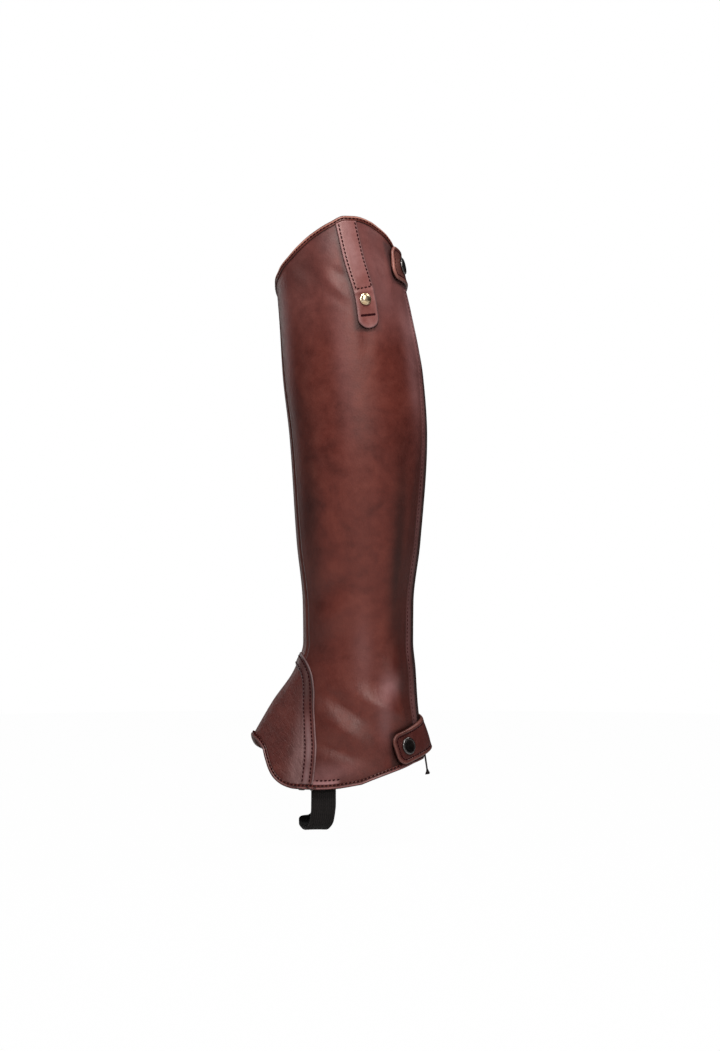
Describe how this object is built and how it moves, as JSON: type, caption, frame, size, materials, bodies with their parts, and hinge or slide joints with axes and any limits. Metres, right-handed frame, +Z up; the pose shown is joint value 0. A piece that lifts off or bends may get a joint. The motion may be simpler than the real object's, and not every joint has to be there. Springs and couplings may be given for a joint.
{
  "type": "half chap",
  "caption": "Leather half chap for a rider's lower leg, worn shape, with a raised outer top, a back zip, snap tabs and an elastic foot strap.",
  "frame": {"origin": "on the axis of the wearer's lower leg, at the level of the fullest part of the calf", "axes": "+Z up the leg, +X towards the back of the leg (the zip), -X towards the shin and toe, -Y the outer side of the leg, +Y the inner side"},
  "size_m": [0.1516, 0.111, 0.5077],
  "materials": {
    "leather": "smooth red-brown leather, soft satin shine",
    "leather_trim": "smooth red-brown leather, a little lighter at folded edges",
    "black_webbing": "black ribbed elastic and woven zip tape, matt",
    "black_plastic": "black nylon coil",
    "brass": "polished",
    "gunmetal": "dark gunmetal plating, smooth"
  },
  "bodies": {
    "half_chap": {"bottom_snap_cap": "gunmetal", "bottom_snap_socket": "gunmetal", "bottom_tab": "leather_trim", "foot_elastic": "black_webbing", "hem_binding": "leather_trim", "inner_panel": "leather", "outer_panel": "leather", "strap_stud": "brass", "top_binding": "leather_trim", "top_snap_cap": "gunmetal", "top_snap_socket": "gunmetal", "top_strap": "leather_trim", "top_tab": "leather_trim", "vamp_panel": "leather", "vamp_seam_strip": "leather_trim", "zip_box": "black_plastic", "zip_coil": "black_plastic", "zip_slider": "gunmetal", "zip_tape_inner": "black_webbing", "zip_tape_outer": "black_webbing"},
    "pull": {"zip_pull": "gunmetal"}
  },
  "joints": [
    {"name": "pull_hinge", "type": "hinge", "parent": "half_chap", "child": "pull", "pos_m": [0.05529, -0.00462, -0.26274], "axis": [-0.1201, -0.9927, -0.0107], "range_deg": [0, 12]}
  ]
}
